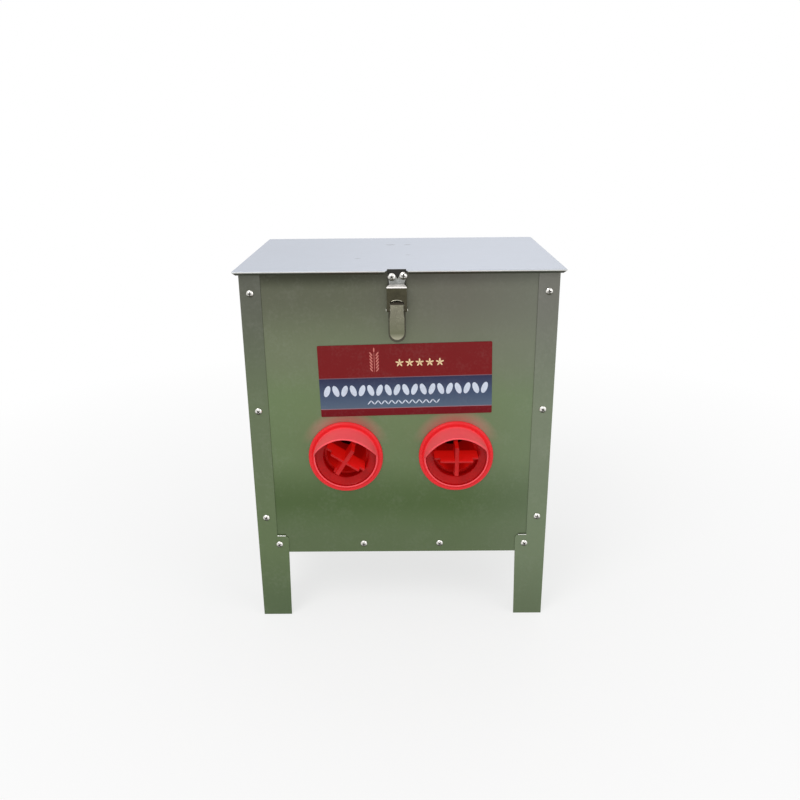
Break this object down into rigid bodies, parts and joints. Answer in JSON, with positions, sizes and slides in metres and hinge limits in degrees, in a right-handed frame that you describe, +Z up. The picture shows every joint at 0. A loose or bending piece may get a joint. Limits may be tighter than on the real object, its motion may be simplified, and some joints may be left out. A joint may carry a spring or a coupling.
{
  "type": "poultry feeder",
  "caption": "Box-shaped sheet-steel feed bin on four sheet legs, with two hooded round feeding ports, a hinged lid and a toggle latch.",
  "frame": {"origin": "centre of the footprint's bounding box, on the ground", "axes": "+X to the feeder's right seen from the front, +Y from the front with the ports to the back with the hinges, +Z up"},
  "size_m": [0.412, 0.3246, 0.5],
  "materials": {
    "galvanised_steel": "galvanised, satin",
    "lid_steel": "galvanised, pale and smooth",
    "zinc_plate": "zinc plated",
    "screw_steel": "bright plated",
    "red_plastic": "moulded, half gloss",
    "red_plastic_grille": "moulded, half gloss",
    "label_print": "printed, satin"
  },
  "bodies": {
    "bin": {"feed_slope": "galvanised_steel", "floor_tray": "galvanised_steel", "front_panel": "galvanised_steel", "hinge_body_leaf_left": "zinc_plate", "hinge_body_leaf_right": "zinc_plate", "hinge_body_rivet_1": "screw_steel", "hinge_body_rivet_2": "screw_steel", "hinge_body_rivet_3": "screw_steel", "hinge_body_rivet_4": "screw_steel", "hinge_pin_left": "screw_steel", "hinge_pin_right": "screw_steel", "label_plate": "label_print", "latch_base": "zinc_plate", "latch_lever_pin": "screw_steel", "latch_rivet_1": "screw_steel", "latch_rivet_2": "screw_steel", "port_grille_left": "red_plastic_grille", "port_grille_right": "red_plastic_grille", "port_hood_left": "red_plastic", "port_hood_right": "red_plastic", "rear_panel": "galvanised_steel", "screw_front_bottom_1": "screw_steel", "screw_front_bottom_2": "screw_steel", "screw_front_bottom_3": "screw_steel", "screw_front_bottom_4": "screw_steel", "screw_front_left_high": "screw_steel", "screw_front_left_low": "screw_steel", "screw_front_left_middle": "screw_steel", "screw_front_right_high": "screw_steel", "screw_front_right_low": "screw_steel", "screw_front_right_middle": "screw_steel", "screw_rear_bottom_1": "screw_steel", "screw_rear_bottom_2": "screw_steel", "screw_rear_bottom_3": "screw_steel", "screw_rear_bottom_4": "screw_steel", "screw_rear_left_high": "screw_steel", "screw_rear_left_low": "screw_steel", "screw_rear_left_middle": "screw_steel", "screw_rear_right_high": "screw_steel", "screw_rear_right_low": "screw_steel", "screw_rear_right_middle": "screw_steel", "side_panel_left": "galvanised_steel", "side_panel_right": "galvanised_steel"},
    "lid": {"lid": "lid_steel", "latch_keeper": "zinc_plate", "keeper_screw_1": "screw_steel", "keeper_screw_2": "screw_steel", "hinge_lid_leaf_left": "zinc_plate", "hinge_lid_leaf_right": "zinc_plate", "hinge_lid_rivet_1": "screw_steel", "hinge_lid_rivet_2": "screw_steel", "hinge_lid_rivet_3": "screw_steel", "hinge_lid_rivet_4": "screw_steel"},
    "lever": {"latch_lever": "zinc_plate", "latch_draw_pin": "screw_steel"},
    "draw_plate": {"latch_draw_plate": "zinc_plate"}
  },
  "joints": [
    {"name": "lid_hinge", "type": "hinge", "parent": "bin", "child": "lid", "pos_m": [0, 0.1593, 0.4804], "axis": [-1, 0, 0], "range_deg": [0, 105]},
    {"name": "latch_lever_swing", "type": "hinge", "parent": "bin", "child": "lever", "pos_m": [-0.0032, -0.1259, 0.4565], "axis": [-1, 0, 0], "range_deg": [0, 90]},
    {"name": "latch_draw_swing", "type": "hinge", "parent": "lever", "child": "draw_plate", "pos_m": [-0.0032, -0.1287, 0.4501], "axis": [-1, 0, 0], "range_deg": [-99, 0]}
  ],
  "couplings": [
    {"joint": "latch_draw_swing", "follows": "latch_lever_swing", "ratio": -1.1}
  ]
}
